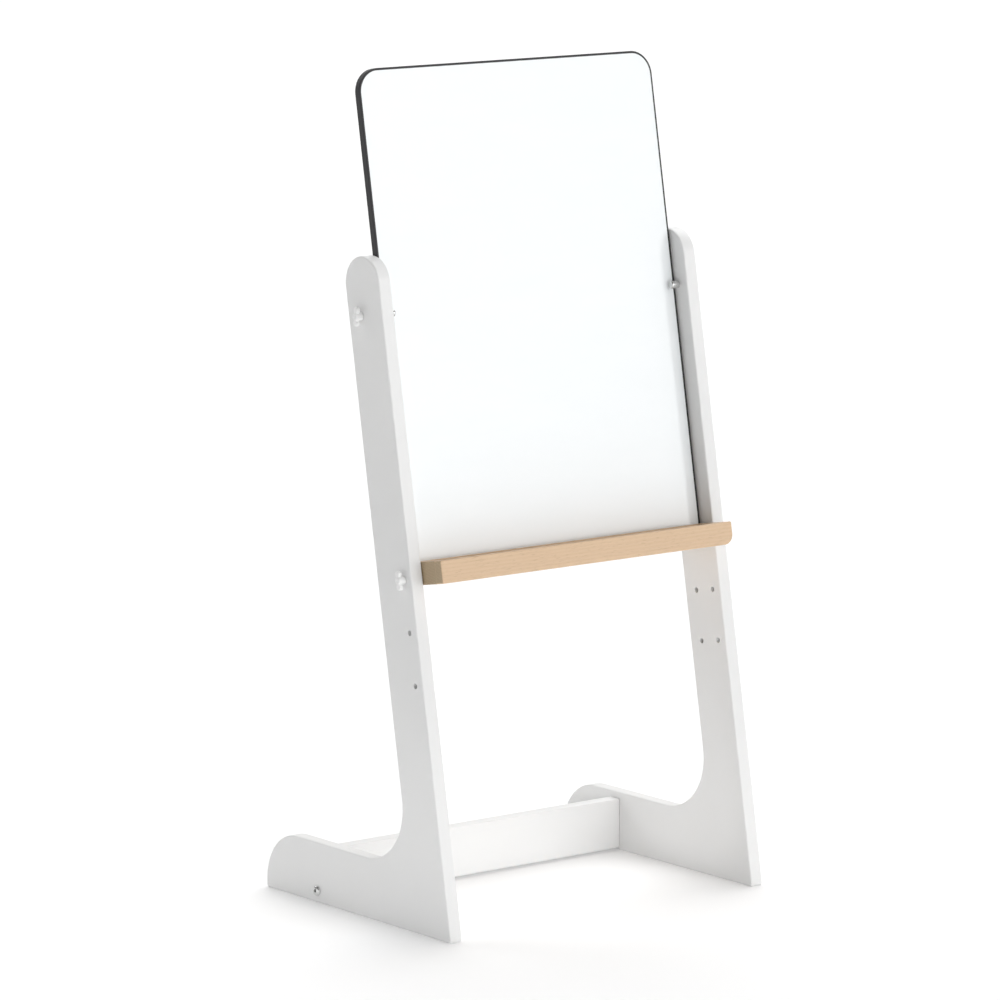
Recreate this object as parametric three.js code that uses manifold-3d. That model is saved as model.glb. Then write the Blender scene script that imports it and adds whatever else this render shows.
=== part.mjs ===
// Children's easel: two L-shaped side panels, a two-faced board that lifts out, and a pen tray.
// Millimetres. +Z is up, the child stands at -Y, and the origin is on the floor under the middle.

import * as THREE from 'three';
import { mergeVertices } from 'three/addons/utils/BufferGeometryUtils.js';
import Module from 'manifold-3d';

const wasm = await Module();
wasm.setup();

// ---------------------------------------------------------------- driving dimensions

const LEAN = THREE.MathUtils.degToRad(10);
const INNER_WIDTH = 456;
const PANEL_THICKNESS = 18;
const GAP = 0.3;

const UPRIGHT_WIDTH = 68;
const UPRIGHT_LENGTH = 830;
const FOOT_HEIGHT = 76;
const FOOT_REAR = 378;
const HEEL_RADIUS = 65;
const FILLET_RADIUS = 72;
const TOE_RADIUS = 3;
const PANEL_EDGE = 2;

// Holes follow a 32 mm grid. "Along" runs up the leaning front edge, "behind" square to it.
const HOLE_PITCH = 32;
const TRAY_ROWS = 3;
const TRAY_ROW_PITCH = 2 * HOLE_PITCH;
const TRAY_BOLT = { behind: 14.5, along: 439 };
const TRAY_PIN = { behind: TRAY_BOLT.behind + HOLE_PITCH, along: TRAY_BOLT.along };
const RAIL_AXIS = { behind: 42.2, along: 758.5 };
const STOP_AXIS = { behind: 18, along: RAIL_AXIS.along };

const BOARD = { width: 454, bottom: 444.8, top: 1053, front: 23.3, thickness: 9 };
const BOARD_CORNER = { upper: 30, lower: 8 };
const EDGE_BAND = 2.8;
const FACE_SHEET = 0.7;

const TRAY = { width: 454.2, bottom: 430.5, height: 28, lipThickness: 12, rear: 60 };
const TRAY_FRONT = -37.6;
const LIP_CORNER = { plain: 1.8, lowerRight: 13 };
const LIP_EDGE = 1.5;
const BODY_EDGE = 1.2;
const END_EDGE = 0.5;
const TROUGH = { halfLength: 213, rear: 10, depth: 12, corner: 10 };
const SLOT_CLEARANCE = 0.5;
const LIP_DOWEL = { radius: 3, front: 7, rear: 17, spacing: 150 };

const STRETCHER = { front: 261.5, thickness: 18, bottom: 3.5, height: 64, edge: 1.5 };
const STRETCHER_BOLT_HEIGHT = 15;
const STRETCHER_DOWEL = { radius: 4, height: STRETCHER_BOLT_HEIGHT + HOLE_PITCH, reach: 25 };
const BARREL_NUT = { radius: 5, length: 14, inset: 34, holeDepth: 16.5 };
const BOLT_HEAD = { radius: 6.5, height: 3.4, rim: 0.8, socket: 2.3, socketDepth: 2, steps: 12 };
const BOLT_PAST_NUT = 8;

const RAIL_RADIUS = 9.5;
const STOP = { radius: 5, length: 12.2, tail: 11, soft: 1 };

// An M6 stud and its hole are plain cylinders, and so is the threaded insert that takes them.
const STUD = { radius: 3, inKnob: 6.6, shortOfEnd: 1 };
const INSERT = { radius: 4.8, length: 14 };
const PIN = { radius: 3, reach: 15 };
const BLIND_DEPTH = 12;
const HOLE_SPARE = 1;
const OVERRUN = 5;

const KNOB = { height: 9.5, hub: 5.2, taper: 0.6, crown: 0.6, lobe: 3.8, reach: 8, wing: 5.5 };
const KNOB_EDGE = 1;
const WING_OPENING = THREE.MathUtils.degToRad(130);
const WING_WAIST = 1.2;
const RAIL_KNOB_TURN = 0.25;

// ---------------------------------------------------------------- derived places

const INNER_FACE = INNER_WIDTH / 2;
const OUTER_FACE = INNER_FACE + PANEL_THICKNESS;
const TOE_FRONT = TOE_RADIUS * (1 / Math.cos(LEAN) + Math.tan(LEAN) - 1);
const MIDDLE_Y = (TOE_FRONT + FOOT_REAR) / 2;
const CLAMPED_END = TRAY.width / 2;
const TRAY_TOP = TRAY.bottom + TRAY.height;
const BODY_FRONT = TRAY_FRONT + TRAY.lipThickness + GAP;
const STRETCHER_MIDDLE = STRETCHER.front + STRETCHER.thickness / 2;
const STUD_HOLE = STUD.radius + GAP;
const SIDES = [
  { name: 'left', sign: -1 },
  { name: 'right', sign: 1 },
];

// ---------------------------------------------------------------- finishes

const finish = (color, roughness, metalness = 0) =>
  new THREE.MeshStandardMaterial({ color, roughness, metalness });

const WHITE_PAINT = finish(0xf2f2f0, 0.45);
const WHITE_ENAMEL = finish(0xfbfdfd, 0.08);
const CHALK_BLACK = finish(0x2b2d2c, 0.9);
const BLACK_EDGE = finish(0x2a2a2b, 0.5);
const DARK_FIBRE = finish(0x3a3430, 0.85);
const BEECH = finish(0xdfc19a, 0.55);
const NICKEL = finish(0xbfc2c4, 0.3, 1);
const BRASS = finish(0xc9a75a, 0.35, 1);
const ZINC = finish(0x9fa3a6, 0.4, 1);
const WHITE_PLASTIC = finish(0xf4f4f2, 0.35);

// ---------------------------------------------------------------- solids

function solidOf(geometry) {
  const bare = geometry.clone();
  bare.deleteAttribute('normal');
  bare.deleteAttribute('uv');
  const merged = mergeVertices(bare, 1e-4);
  return new wasm.Manifold(new wasm.Mesh({
    numProp: 3,
    vertProperties: merged.attributes.position.array,
    triVerts: new Uint32Array(merged.index.array),
  }));
}

function geometryOf(solid) {
  const mesh = solid.getMesh();
  const geometry = new THREE.BufferGeometry();
  geometry.setAttribute('position', new THREE.BufferAttribute(mesh.vertProperties, 3));
  geometry.setIndex(new THREE.BufferAttribute(mesh.triVerts, 1));
  geometry.computeVertexNormals();
  return geometry;
}

function cut(geometry, cutters) {
  let solid = solidOf(geometry);
  for (const cutter of cutters) {
    solid = solid.subtract(solidOf(cutter));
  }
  return geometryOf(solid);
}

function join(first, second) {
  return geometryOf(solidOf(first).add(solidOf(second)));
}

function named(name, geometry, material) {
  const mesh = new THREE.Mesh(geometry, material);
  mesh.name = name;
  return mesh;
}

// A round bar along X, from one x to another, at a given y and z.
function barX(radius, from, to, y, z, sides = 20) {
  const bar = new THREE.CylinderGeometry(radius, radius, Math.abs(to - from), sides);
  bar.rotateZ(Math.PI / 2);
  bar.translate((from + to) / 2, y, z);
  return bar;
}

// A round bar along Y, centred at x and z.
function barY(radius, from, to, x, z, sides = 20) {
  const bar = new THREE.CylinderGeometry(radius, radius, Math.abs(to - from), sides);
  bar.translate(0, (from + to) / 2, 0);
  bar.translate(x, 0, z);
  return bar;
}

// An outline pushed out along +Z from z = 0, with rounded rims inside the outline.
function extrude(shape, length, round, curveSegments) {
  const geometry = new THREE.ExtrudeGeometry(shape, {
    depth: length - 2 * round,
    bevelEnabled: round > 0,
    bevelThickness: round,
    bevelSize: round,
    bevelOffset: -round,
    bevelSegments: 3,
    curveSegments,
  });
  geometry.translate(0, 0, round);
  return geometry;
}

// An outline drawn in Y and Z, pushed out along X from a given x.
function extrudeX(shape, from, length, round, curveSegments) {
  const geometry = extrude(shape, length, round, curveSegments);
  const turned = new THREE.Matrix4().makeBasis(
    new THREE.Vector3(0, 1, 0),
    new THREE.Vector3(0, 0, 1),
    new THREE.Vector3(1, 0, 0),
  );
  geometry.applyMatrix4(turned);
  geometry.translate(from, 0, 0);
  return geometry;
}

// A plate drawn in X and Z, pushed back along Y from a given y.
function extrudeY(shape, from, length, round, curveSegments) {
  const geometry = extrude(shape, length, round, curveSegments);
  geometry.rotateX(Math.PI / 2);
  geometry.translate(0, from + length, 0);
  return geometry;
}

// A rectangle with its own radius at each corner: lower left, lower right, upper right, upper left.
function rectangle(left, bottom, right, top, radii) {
  const [lowLeft, lowRight, highRight, highLeft] = radii;
  const quarter = Math.PI / 2;
  const shape = new THREE.Shape();
  shape.absarc(left + lowLeft, bottom + lowLeft, lowLeft, 2 * quarter, 3 * quarter, false);
  shape.absarc(right - lowRight, bottom + lowRight, lowRight, 3 * quarter, 4 * quarter, false);
  shape.absarc(right - highRight, top - highRight, highRight, 0, quarter, false);
  shape.absarc(left + highLeft, top - highLeft, highLeft, quarter, 2 * quarter, false);
  shape.closePath();
  return shape;
}

const evenRectangle = (left, bottom, right, top, radius) =>
  rectangle(left, bottom, right, top, [radius, radius, radius, radius]);

// A place up the leaning front edge, as upright Y and Z.
function leaningPoint({ behind, along }) {
  return {
    y: along * Math.sin(LEAN) + behind * Math.cos(LEAN),
    z: along * Math.cos(LEAN) - behind * Math.sin(LEAN),
  };
}

// ---------------------------------------------------------------- side panels

function panelOutline() {
  const slope = Math.tan(LEAN);
  const cosine = Math.cos(LEAN);
  const half = UPRIGHT_WIDTH / 2;
  const top = leaningPoint({ behind: half, along: UPRIGHT_LENGTH - half });
  const filletZ = FOOT_HEIGHT + FILLET_RADIUS;
  const filletY = (FILLET_RADIUS + UPRIGHT_WIDTH) / cosine + slope * filletZ;
  const toeY = TOE_RADIUS / cosine + slope * TOE_RADIUS;
  const heelY = FOOT_REAR - HEEL_RADIUS;
  const down = -Math.PI / 2;
  const shape = new THREE.Shape();
  shape.absarc(toeY, TOE_RADIUS, TOE_RADIUS, Math.PI - LEAN, Math.PI * 1.5, false);
  shape.absarc(FOOT_REAR - TOE_RADIUS, TOE_RADIUS, TOE_RADIUS, down, 0, false);
  shape.absarc(heelY, FOOT_HEIGHT - HEEL_RADIUS, HEEL_RADIUS, 0, Math.PI / 2, false);
  shape.absarc(filletY, filletZ, FILLET_RADIUS, down, down - Math.PI / 2 - LEAN, true);
  shape.absarc(top.y, top.z, half, -LEAN, Math.PI - LEAN, false);
  shape.closePath();
  return shape;
}

function sidePanel(sign) {
  const inner = sign * INNER_FACE;
  const outer = sign * OUTER_FACE;
  const past = outer + sign * OVERRUN;
  const short = inner - sign * OVERRUN;
  const blind = inner + sign * BLIND_DEPTH;
  const through = (place) => barX(STUD_HOLE, short, past, place.y, place.z);
  const socket = (place, radius) => barX(radius + GAP, short, blind, place.y, place.z);
  const holes = [
    through(leaningPoint(RAIL_AXIS)),
    socket(leaningPoint(STOP_AXIS), PIN.radius),
    through({ y: STRETCHER_MIDDLE, z: STRETCHER_BOLT_HEIGHT }),
    socket({ y: STRETCHER_MIDDLE, z: STRETCHER_DOWEL.height }, STRETCHER_DOWEL.radius),
  ];
  for (let row = 0; row < TRAY_ROWS; row += 1) {
    const drop = row * TRAY_ROW_PITCH;
    holes.push(through(leaningPoint({ ...TRAY_BOLT, along: TRAY_BOLT.along - drop })));
    holes.push(socket(leaningPoint({ ...TRAY_PIN, along: TRAY_PIN.along - drop }), PIN.radius));
  }
  const body = extrudeX(panelOutline(), Math.min(inner, outer), PANEL_THICKNESS, PANEL_EDGE, 10);
  return cut(body, holes);
}

// ---------------------------------------------------------------- rear stretcher and its fixings

function stretcher() {
  const end = INNER_FACE - GAP;
  const rear = STRETCHER.front + STRETCHER.thickness;
  const top = STRETCHER.bottom + STRETCHER.height;
  const outline = evenRectangle(
    STRETCHER.front, STRETCHER.bottom, rear, top, STRETCHER.edge,
  );
  const body = extrudeX(outline, -end, 2 * end, END_EDGE, 3);
  const holes = [];
  for (const { sign } of SIDES) {
    const start = sign * (end + OVERRUN);
    const nutX = sign * (end - BARREL_NUT.inset);
    const boltEnd = nutX - sign * (BOLT_PAST_NUT + HOLE_SPARE);
    const dowelEnd = sign * (INNER_FACE - STRETCHER_DOWEL.reach - HOLE_SPARE);
    const dowelHole = STRETCHER_DOWEL.radius + GAP;
    const nutHole = BARREL_NUT.radius + GAP;
    const nutFrom = rear - BARREL_NUT.holeDepth;
    holes.push(barX(STUD_HOLE, start, boltEnd, STRETCHER_MIDDLE, STRETCHER_BOLT_HEIGHT));
    holes.push(barX(dowelHole, start, dowelEnd, STRETCHER_MIDDLE, STRETCHER_DOWEL.height));
    holes.push(barY(nutHole, nutFrom, rear + OVERRUN, nutX, STRETCHER_BOLT_HEIGHT));
  }
  return cut(body, holes);
}

// A domed head with a hexagon socket, on a plain shank that reaches through the barrel nut.
function stretcherBolt(sign) {
  const { radius, height, rim, socket, socketDepth, steps } = BOLT_HEAD;
  const shank = PANEL_THICKNESS + BARREL_NUT.inset + BOLT_PAST_NUT;
  const profile = [
    new THREE.Vector2(0, -shank),
    new THREE.Vector2(STUD.radius, -shank),
    new THREE.Vector2(STUD.radius, 0),
    new THREE.Vector2(radius, 0),
  ];
  for (let step = 1; step < steps; step += 1) {
    const angle = (step / steps) * (Math.PI / 2);
    const rise = rim + (height - rim) * Math.sin(angle);
    profile.push(new THREE.Vector2(radius * Math.cos(angle), rise));
  }
  profile.push(new THREE.Vector2(0, height));
  const hexagon = new THREE.CylinderGeometry(socket, socket, 2 * socketDepth, 6);
  hexagon.translate(0, height, 0);
  const bolt = cut(new THREE.LatheGeometry(profile, 24), [hexagon]);
  bolt.rotateZ(-sign * Math.PI / 2);
  bolt.translate(sign * (OUTER_FACE + GAP), STRETCHER_MIDDLE, STRETCHER_BOLT_HEIGHT);
  return bolt;
}

function barrelNut(sign) {
  const { radius, length, inset } = BARREL_NUT;
  const x = sign * (INNER_FACE - GAP - inset);
  const front = STRETCHER_MIDDLE - length / 2;
  const rear = STRETCHER_MIDDLE + length / 2;
  const nut = barY(radius, front, rear, x, STRETCHER_BOLT_HEIGHT);
  const bore = barX(STUD_HOLE, x - 2 * radius, x + 2 * radius, STRETCHER_MIDDLE, STRETCHER_BOLT_HEIGHT);
  return cut(nut, [bore]);
}

function stretcherDowel(sign) {
  const from = sign * (INNER_FACE - STRETCHER_DOWEL.reach);
  const to = sign * (INNER_FACE + BLIND_DEPTH - GAP);
  return barX(STRETCHER_DOWEL.radius, from, to, STRETCHER_MIDDLE, STRETCHER_DOWEL.height);
}

// ---------------------------------------------------------------- board

function boardSlab(inset, front, thickness) {
  const half = BOARD.width / 2 - inset;
  const bottom = BOARD.bottom + inset;
  const top = BOARD.top - inset;
  const lower = BOARD_CORNER.lower - inset;
  const upper = BOARD_CORNER.upper - inset;
  const outline = rectangle(-half, bottom, half, top, [lower, lower, upper, upper]);
  return extrudeY(outline, front, thickness, 0, 7);
}

function edgeBand() {
  const ring = boardSlab(0, BOARD.front, BOARD.thickness);
  const middle = boardSlab(EDGE_BAND, BOARD.front - OVERRUN, BOARD.thickness + 2 * OVERRUN);
  return cut(ring, [middle]);
}

function boardCore() {
  const skin = FACE_SHEET + GAP;
  return boardSlab(EDGE_BAND + GAP, BOARD.front + skin, BOARD.thickness - 2 * skin);
}

function faceSheet(front) {
  return boardSlab(EDGE_BAND + GAP, front, FACE_SHEET);
}

// ---------------------------------------------------------------- rail and stops

function rail() {
  const bar = barX(
    RAIL_RADIUS, -CLAMPED_END, CLAMPED_END, RAIL_AXIS.behind, RAIL_AXIS.along, 32,
  );
  return cut(bar, SIDES.map(({ sign }) => insertHole(sign, RAIL_AXIS)));
}

// A shouldered pin: the thick part stands in front of the board, the tail sits in the panel.
function stopPin(sign) {
  const { radius, length, tail, soft } = STOP;
  const profile = [
    new THREE.Vector2(0, -length),
    new THREE.Vector2(radius - soft, -length),
    new THREE.Vector2(radius - soft * 0.3, -length + soft * 0.3),
    new THREE.Vector2(radius, -length + soft),
    new THREE.Vector2(radius, 0),
    new THREE.Vector2(PIN.radius, 0),
    new THREE.Vector2(PIN.radius, tail),
    new THREE.Vector2(0, tail),
  ];
  const pin = new THREE.LatheGeometry(profile, 24);
  pin.rotateZ(-sign * Math.PI / 2);
  pin.translate(sign * (INNER_FACE - GAP), STOP_AXIS.behind, STOP_AXIS.along);
  return pin;
}

// ---------------------------------------------------------------- tray

function insertHole(sign, place) {
  const deep = sign * (CLAMPED_END - GAP - INSERT.length - HOLE_SPARE);
  const out = sign * (CLAMPED_END + OVERRUN);
  return barX(INSERT.radius + GAP, deep, out, place.behind, place.along);
}

function lipDowelPlaces() {
  return [-1, 0, 1].map((step) => step * LIP_DOWEL.spacing);
}

function lipDowelBar(radius, x, spare) {
  const front = BODY_FRONT - LIP_DOWEL.front - spare;
  const rear = BODY_FRONT + LIP_DOWEL.rear + spare;
  return barY(radius, front, rear, x, TRAY_BOLT.along, 16);
}

const lipDowelHoles = () =>
  lipDowelPlaces().map((x) => lipDowelBar(LIP_DOWEL.radius + GAP, x, HOLE_SPARE / 2));

// The pen trough is milled in from the front, which the lip closes, and stops short of both ends.
function trough() {
  const { halfLength, rear, depth, corner } = TROUGH;
  const radii = [0, 0, corner, corner];
  const outline = rectangle(-halfLength, BODY_FRONT - OVERRUN, halfLength, rear, radii);
  const space = extrude(outline, depth + OVERRUN, 0, 6);
  space.translate(0, 0, TRAY_TOP - depth);
  return space;
}

// The slot that the board's lower edge stands in, from one end of the tray to the other.
function boardSlot() {
  const width = BOARD.thickness + 2 * SLOT_CLEARANCE;
  const depth = TRAY_TOP - BOARD.bottom + GAP;
  const slot = new THREE.BoxGeometry(TRAY.width + 2 * OVERRUN, width, 2 * depth);
  slot.translate(0, BOARD.front + BOARD.thickness / 2, TRAY_TOP);
  return slot;
}

function trayBody() {
  const outline = evenRectangle(BODY_FRONT, TRAY.bottom, TRAY.rear, TRAY_TOP, BODY_EDGE);
  const block = extrudeX(outline, -CLAMPED_END, TRAY.width, END_EDGE, 3);
  const cutters = [trough(), boardSlot(), ...lipDowelHoles()];
  for (const { sign } of SIDES) {
    const deep = sign * (CLAMPED_END - PIN.reach - HOLE_SPARE);
    const out = sign * (CLAMPED_END + OVERRUN);
    cutters.push(insertHole(sign, TRAY_BOLT));
    cutters.push(barX(PIN.radius + GAP, deep, out, TRAY_PIN.behind, TRAY_PIN.along));
  }
  return cut(block, cutters);
}

function trayLip() {
  const { plain, lowerRight } = LIP_CORNER;
  const radii = [plain, lowerRight, plain, plain];
  const outline = rectangle(-CLAMPED_END, TRAY.bottom, CLAMPED_END, TRAY_TOP, radii);
  return cut(extrudeY(outline, TRAY_FRONT, TRAY.lipThickness, LIP_EDGE, 6), lipDowelHoles());
}

function trayPin(sign) {
  const from = sign * (CLAMPED_END - PIN.reach);
  const to = sign * (INNER_FACE + BLIND_DEPTH - GAP);
  return barX(PIN.radius, from, to, TRAY_PIN.behind, TRAY_PIN.along);
}

// ---------------------------------------------------------------- knobs, studs and inserts

// The wing outline: two lobes with a waist between them.
function wingOutline() {
  const { lobe, reach } = KNOB;
  const joinX = reach + lobe * Math.cos(WING_OPENING);
  const joinY = lobe * Math.sin(WING_OPENING);
  const start = Math.PI - WING_OPENING;
  const end = Math.PI + WING_OPENING;
  const shape = new THREE.Shape();
  shape.absarc(reach, 0, lobe, -WING_OPENING, WING_OPENING, false);
  shape.quadraticCurveTo(0, WING_WAIST, -joinX, joinY);
  shape.absarc(-reach, 0, lobe, start, end, false);
  shape.quadraticCurveTo(0, -WING_WAIST, joinX, -joinY);
  return shape;
}

// A wing knob that points along +Z, with the foot of its hub at z = 0.
function knobBlank() {
  const { height, wing, hub, taper, crown } = KNOB;
  const wings = extrude(wingOutline(), wing, KNOB_EDGE, 8);
  wings.translate(0, 0, height - wing);
  const barrel = new THREE.CylinderGeometry(hub - taper, hub, height + crown, 28);
  barrel.rotateX(Math.PI / 2);
  barrel.translate(0, 0, (height + crown) / 2);
  const boreLength = 2 * (STUD.inKnob + GAP);
  const bore = new THREE.CylinderGeometry(STUD_HOLE, STUD_HOLE, boreLength, 20);
  bore.rotateX(Math.PI / 2);
  return cut(join(wings, barrel), [bore]);
}

function knob(sign, place, turn) {
  const body = knobBlank();
  body.rotateZ(turn);
  body.rotateY(sign * Math.PI / 2);
  body.translate(sign * (OUTER_FACE + GAP), place.behind, place.along);
  return body;
}

function knobStud(sign, place) {
  const outer = sign * (OUTER_FACE + GAP + STUD.inKnob);
  const inner = sign * (CLAMPED_END - INSERT.length + STUD.shortOfEnd);
  return barX(STUD.radius, inner, outer, place.behind, place.along);
}

function threadedInsert(sign, place) {
  const outer = sign * (CLAMPED_END - GAP);
  const inner = outer - sign * INSERT.length;
  const past = sign * OVERRUN;
  const sleeve = barX(INSERT.radius, inner, outer, place.behind, place.along, 24);
  const bore = barX(STUD_HOLE, inner - past, outer + past, place.behind, place.along);
  return cut(sleeve, [bore]);
}

// ---------------------------------------------------------------- assembly

// Everything in this group is placed by x, by "behind" (its y) and by "along" (its z).
function leaningParts() {
  const group = new THREE.Group();
  const rear = BOARD.front + BOARD.thickness - FACE_SHEET;
  group.add(named('board_core', boardCore(), DARK_FIBRE));
  group.add(named('board_edge_band', edgeBand(), BLACK_EDGE));
  group.add(named('whiteboard_face', faceSheet(BOARD.front), WHITE_ENAMEL));
  group.add(named('chalkboard_face', faceSheet(rear), CHALK_BLACK));
  group.add(named('rear_rail', rail(), BEECH));
  group.add(named('tray_body', trayBody(), BEECH));
  group.add(named('tray_lip', trayLip(), BEECH));
  lipDowelPlaces().forEach((x, index) => {
    const dowel = lipDowelBar(LIP_DOWEL.radius, x, 0);
    group.add(named(`lip_dowel_${index + 1}`, dowel, BEECH));
  });
  for (const { name, sign } of SIDES) {
    group.add(named(`board_stop_${name}`, stopPin(sign), NICKEL));
    group.add(named(`rail_knob_${name}`, knob(sign, RAIL_AXIS, RAIL_KNOB_TURN), WHITE_PLASTIC));
    group.add(named(`rail_stud_${name}`, knobStud(sign, RAIL_AXIS), ZINC));
    group.add(named(`rail_insert_${name}`, threadedInsert(sign, RAIL_AXIS), BRASS));
    group.add(named(`tray_knob_${name}`, knob(sign, TRAY_BOLT, 0), WHITE_PLASTIC));
    group.add(named(`tray_stud_${name}`, knobStud(sign, TRAY_BOLT), ZINC));
    group.add(named(`tray_insert_${name}`, threadedInsert(sign, TRAY_BOLT), BRASS));
    group.add(named(`tray_pin_${name}`, trayPin(sign), ZINC));
  }
  group.rotation.x = -LEAN;
  return group;
}

function uprightParts() {
  const group = new THREE.Group();
  group.add(named('rear_stretcher', stretcher(), WHITE_PAINT));
  for (const { name, sign } of SIDES) {
    group.add(named(`side_panel_${name}`, sidePanel(sign), WHITE_PAINT));
    group.add(named(`stretcher_bolt_${name}`, stretcherBolt(sign), NICKEL));
    group.add(named(`barrel_nut_${name}`, barrelNut(sign), ZINC));
    group.add(named(`stretcher_dowel_${name}`, stretcherDowel(sign), BEECH));
  }
  return group;
}

const easel = new THREE.Group();
const standing = new THREE.Group();
standing.position.y = -MIDDLE_Y;
standing.add(uprightParts());
standing.add(leaningParts());
easel.add(standing);

export default easel;
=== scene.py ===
"""Looks of a children's easel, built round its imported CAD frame. Metres, +Z up, the child stands at -Y."""

import math

import bmesh
import bpy
from mathutils import Matrix, Vector


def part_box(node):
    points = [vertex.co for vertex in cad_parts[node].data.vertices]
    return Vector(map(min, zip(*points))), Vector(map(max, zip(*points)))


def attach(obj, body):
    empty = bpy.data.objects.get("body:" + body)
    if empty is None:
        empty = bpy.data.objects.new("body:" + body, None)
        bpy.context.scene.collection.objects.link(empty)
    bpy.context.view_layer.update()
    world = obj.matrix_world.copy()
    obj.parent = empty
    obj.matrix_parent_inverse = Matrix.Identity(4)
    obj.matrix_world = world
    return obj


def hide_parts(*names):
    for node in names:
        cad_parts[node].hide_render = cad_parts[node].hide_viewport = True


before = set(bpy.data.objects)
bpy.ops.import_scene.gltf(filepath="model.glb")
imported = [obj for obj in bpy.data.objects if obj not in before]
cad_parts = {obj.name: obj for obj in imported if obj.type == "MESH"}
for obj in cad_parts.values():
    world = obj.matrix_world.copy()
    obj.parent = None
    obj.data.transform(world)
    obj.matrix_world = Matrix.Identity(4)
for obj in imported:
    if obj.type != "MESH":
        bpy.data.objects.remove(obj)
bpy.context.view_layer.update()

# ------------------------------------------------------------------ dimensions

# Sizes and places are the CAD's. Hole lips and segments, the stretcher's edge and the shading angles
# are for looks only.

MM = 0.001
LEAN = math.radians(10)
INNER_FACE = 228 * MM
PANEL_THICKNESS = 18 * MM
OUTER_FACE = INNER_FACE + PANEL_THICKNESS
GAP = 0.3 * MM
UPRIGHT_WIDTH = 68 * MM
UPRIGHT_LENGTH = 830 * MM
FOOT_HEIGHT = 76 * MM
FOOT_REAR = 378 * MM
HEEL_RADIUS = 65 * MM
FILLET_RADIUS = 72 * MM
TOE_RADIUS = 3 * MM
PANEL_EDGE = 2 * MM
MIDDLE_Y = FOOT_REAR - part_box("side_panel_left")[1].y

ROW_PITCH = 64 * MM
TRAY_BOLT = (14.5 * MM, 439 * MM)
TRAY_PIN = (46.5 * MM, 439 * MM)
RAIL_AXIS = (42.2 * MM, 758.5 * MM)
STOP_AXIS = (18 * MM, 758.5 * MM)
STUD_HOLE = 3.3 * MM
DOWEL_HOLE = 4.3 * MM
BLIND_DEPTH = 12 * MM
HOLE_LIP = 0.35 * MM
HOLE_SEGMENTS = 32

BOARD_HALF = 227 * MM
BOARD_BOTTOM = 444.8 * MM
BOARD_TOP = 1053 * MM
BOARD_FRONT = 23.3 * MM
BOARD_THICKNESS = 9 * MM
BOARD_UPPER = 30 * MM
BOARD_LOWER = 8 * MM
BAND = 2.8 * MM
SHEET = 0.7 * MM

TRAY_END = 227.1 * MM
TRAY_BOTTOM = 430.5 * MM
TRAY_TOP = 458.5 * MM
TRAY_REAR = 60 * MM
LIP_FRONT = -37.6 * MM
LIP_THICKNESS = 12 * MM
BODY_FRONT = LIP_FRONT + LIP_THICKNESS + GAP
TROUGH_HALF = 213 * MM
TROUGH_REAR = 10 * MM
TROUGH_DEPTH = 12 * MM

STRETCHER_FRONT = 261.5 * MM
STRETCHER_THICKNESS = 18 * MM
STRETCHER_BOTTOM = 3.5 * MM
STRETCHER_TOP = 67.5 * MM
STRETCHER_MIDDLE = STRETCHER_FRONT + STRETCHER_THICKNESS / 2
STRETCHER_EDGE = 1.2 * MM
BOLT_HEIGHT = 15 * MM
DOWEL_HEIGHT = 47 * MM
NUT_X = INNER_FACE - GAP - 34 * MM
NUT_HOLE = 5.3 * MM
NUT_HOLE_DEPTH = 16.5 * MM

SIDES = (("left", -1), ("right", 1))
TRAY_ROWS = 3
RAIL_KNOB_TURN = 0.25
TRAY_KNOB_TURN = 0.0
SHARP_CORNER = 38
KNOB_SHARP_CORNER = 50
CAD_SHARP_CORNER = 35


def lean(x, behind, along):
    """A place by x, by its distance behind the leaning front edge, and along it."""
    y = along * math.sin(LEAN) + behind * math.cos(LEAN)
    z = along * math.cos(LEAN) - behind * math.sin(LEAN)
    return Vector((x, y - MIDDLE_Y, z))


def upright(behind, along):
    """The same place as plain y and z, with y still measured from the toe."""
    place = lean(0, behind, along)
    return place.y + MIDDLE_Y, place.z


# ------------------------------------------------------------------ camera, floor and light

CAMERA_PLACE = (-4.1445, -5.2855, 1.6027)
CAMERA_TURN = (80.585, 0.052, -37.956)
CAMERA_LENS = 198.28
CAMERA_SENSOR = 36
CAMERA_REACH = 200
FLOOR_REACH = 60.0
FLOOR_WHITE = 0.93
FLOOR_GLOW = 0.12
SKY = 0.08
HORIZON = 1.03
# The sky goes from the horizon's white to its own tone between these two heights of the direction.
HORIZON_HEIGHTS = (0.03, 0.12)
# Direction, outer and inner angle in degrees, and radiance of each soft patch of sky.
SOFTBOXES = (
    ((0.55, 0.45, 1.0), 48, 8, 2.75),
    ((0.15, -1.0, 0.10), 50, 8, 2.3),
    ((-1.0, 0.10, 0.30), 45, 8, 0.20),
    ((-0.30, 0.80, 0.50), 24, 6, 1.7),
)
# Name, place, target, width and height, spread in degrees, and power in watts of each low lamp.
LAMPS = (
    ("low_left", (-3.0, 0.5, 0.42), (0.0, 0.0, 0.03), (0.50, 0.25), 14, 0.080),
    ("low_front", (0.0, -1.35, 0.14), (0.0, 0.07, 0.035), (0.20, 0.12), 22, 0.038),
    ("low_inner", (-1.45, -1.30, 0.26), (0.22, 0.03, 0.08), (0.30, 0.15), 12, 0.031),
)


def add_camera():
    """A long lens at the front left, looking down a little."""
    data = bpy.data.cameras.new("camera")
    data.lens = CAMERA_LENS
    data.sensor_width = CAMERA_SENSOR
    data.clip_end = CAMERA_REACH
    camera = bpy.data.objects.new("camera", data)
    camera.location = CAMERA_PLACE
    camera.rotation_euler = [math.radians(a) for a in CAMERA_TURN]
    bpy.context.scene.collection.objects.link(camera)
    bpy.context.scene.camera = camera


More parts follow.
